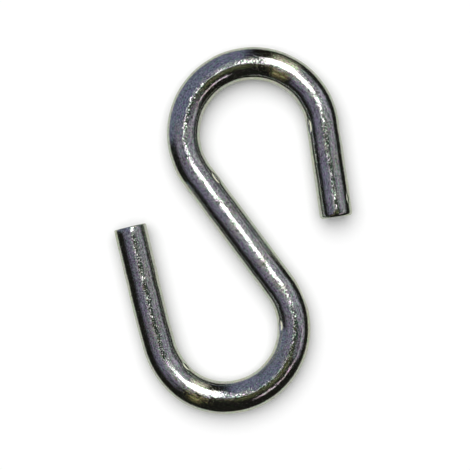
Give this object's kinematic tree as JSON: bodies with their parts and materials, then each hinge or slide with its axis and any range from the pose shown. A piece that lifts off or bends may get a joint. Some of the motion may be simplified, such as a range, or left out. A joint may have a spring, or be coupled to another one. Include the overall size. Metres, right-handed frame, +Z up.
{
  "type": "s hook",
  "caption": "S-shaped hook bent from round zinc-plated steel wire, open at both ends, that hangs a load from a ring, rail or chain.",
  "frame": {"origin": "on the surface that the hook lies on, under the middle of its length and width", "axes": "+Y along the line through the two bend centres, towards the upper hook with the smaller leg; +Z up out of the plane that the wire is bent in"},
  "size_m": [0.0352, 0.056, 0.005],
  "materials": {
    "zinc_plate": "polished"
  },
  "bodies": {
    "root": {"hook": "zinc_plate"}
  },
  "joints": []
}
